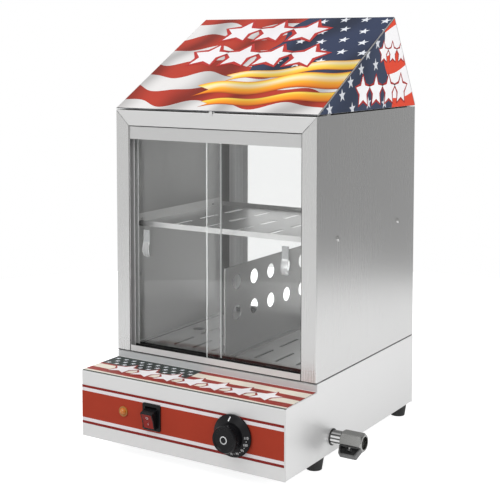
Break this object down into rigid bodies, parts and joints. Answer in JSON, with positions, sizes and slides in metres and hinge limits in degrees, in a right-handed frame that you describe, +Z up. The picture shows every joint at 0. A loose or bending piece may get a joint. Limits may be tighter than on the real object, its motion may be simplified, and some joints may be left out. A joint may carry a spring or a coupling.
{
  "type": "hot dog steamer",
  "caption": "Counter-top steam cabinet with sliding glass doors, a water tank and drain valve below, a bun shelf inside and a gabled sign hood on top.",
  "frame": {"origin": "on the counter under the feet, midway between the furthest points of the piece", "axes": "+X to the customer's right as the controls are faced, +Y from the controls to the back, +Z up"},
  "size_m": [0.403, 0.4544, 0.6449],
  "materials": {
    "stainless": "brushed stainless sheet",
    "galvanised": "zinc-coated sheet",
    "track_steel": "folded stainless channel",
    "inner_steel": "dull stainless",
    "heater_alloy": "heat-darkened alloy tube",
    "brass": "turned",
    "plated_metal": "satin plated",
    "screws": "plated screws",
    "rubber": "black moulded rubber",
    "black_plastic": "black moulded plastic",
    "red_plastic": "glossy red, moulded",
    "lamp_ring": "dark moulded bezel",
    "amber_lens": "translucent amber",
    "control_print": "printed film, red with white and dark red bands",
    "deck_print": "printed film, stars and stripes",
    "sign_print": "printed film, stars and stripes",
    "door_glass": "clear float glass, polished edges",
    "clear_plastic": "clear moulded plastic",
    "thermostat_case": "plated pressing",
    "terminal_plastic": "white moulded plastic"
  },
  "bodies": {
    "cabinet": {"base_side_right": "stainless", "base_side_left": "stainless", "base_front": "stainless", "base_back": "stainless", "base_floor": "galvanised", "feet": "rubber", "foot_screws": "screws", "control_decal": "control_print", "deck_decal": "deck_print", "pilot_lamp_body": "lamp_ring", "pilot_lamp_lens": "amber_lens", "switch_housing": "black_plastic", "thermostat_body": "thermostat_case", "capillary": "heater_alloy", "terminal_block": "terminal_plastic", "cable_gland": "black_plastic", "water_tank": "inner_steel", "heating_element": "heater_alloy", "heater_bushes": "brass", "drain_pipe": "plated_metal", "drain_collar": "rubber", "valve_body": "plated_metal", "cabinet_side_right": "stainless", "cabinet_side_left": "stainless", "cabinet_roof": "stainless", "sill_front": "track_steel", "sill_rear": "track_steel", "head_front": "track_steel", "head_rear": "track_steel", "jamb_front_right": "track_steel", "jamb_front_left": "track_steel", "jamb_rear_right": "track_steel", "jamb_rear_left": "track_steel", "bun_shelf": "inner_steel", "shelf_screws": "screws", "hood_front": "stainless", "hood_back": "stainless", "hood_side_right": "stainless", "hood_side_left": "stainless", "sign_front": "sign_print", "sign_right": "sign_print", "sign_left": "sign_print"},
    "outer_front_door": {"door_front_right": "door_glass", "pull_front_right": "clear_plastic"},
    "inner_front_door": {"door_front_left": "door_glass", "pull_front_left": "clear_plastic"},
    "outer_rear_door": {"door_rear_right": "door_glass", "pull_rear_right": "clear_plastic"},
    "inner_rear_door": {"door_rear_left": "door_glass", "pull_rear_left": "clear_plastic"},
    "power_rocker": {"switch_rocker": "black_plastic", "switch_lens": "red_plastic"},
    "heat_knob": {"thermostat_knob": "black_plastic"},
    "drain_valve": {"valve_ball": "plated_metal", "valve_handle": "black_plastic", "valve_handle_screw": "screws"},
    "tray": {"steam_tray": "inner_steel"},
    "partition": {"divider": "inner_steel"}
  },
  "joints": [
    {"name": "outer_front_door_slide", "type": "slide", "parent": "cabinet", "child": "outer_front_door", "axis": [1, 0, 0], "range_m": [-0.1493, 0.007]},
    {"name": "inner_front_door_slide", "type": "slide", "parent": "cabinet", "child": "inner_front_door", "axis": [1, 0, 0], "range_m": [0, 0.1563]},
    {"name": "outer_rear_door_slide", "type": "slide", "parent": "cabinet", "child": "outer_rear_door", "axis": [1, 0, 0], "range_m": [-0.1563, 0]},
    {"name": "inner_rear_door_slide", "type": "slide", "parent": "cabinet", "child": "inner_rear_door", "axis": [1, 0, 0], "range_m": [0, 0.1563]},
    {"name": "power_rocker_hinge", "type": "hinge", "parent": "cabinet", "child": "power_rocker", "pos_m": [-0.07, -0.20065, 0.0706], "axis": [1, 0, 0], "range_deg": [-34, 0]},
    {"name": "heat_knob_turn", "type": "hinge", "parent": "cabinet", "child": "heat_knob", "pos_m": [0.0683, -0.20205, 0.0696], "axis": [0, 1, 0], "range_deg": [0, 270]},
    {"name": "drain_valve_turn", "type": "hinge", "parent": "cabinet", "child": "drain_valve", "pos_m": [0.1845, -0.06755, 0.0432], "axis": [0, -0.788, -0.6157], "range_deg": [0, 90]},
    {"name": "tray_lift", "type": "slide", "parent": "cabinet", "child": "tray", "axis": [0, 0, 1], "range_m": [0, 0.03]},
    {"name": "partition_lift", "type": "slide", "parent": "tray", "child": "partition", "axis": [0, 0, 1], "range_m": [0, 0.0205]}
  ]
}
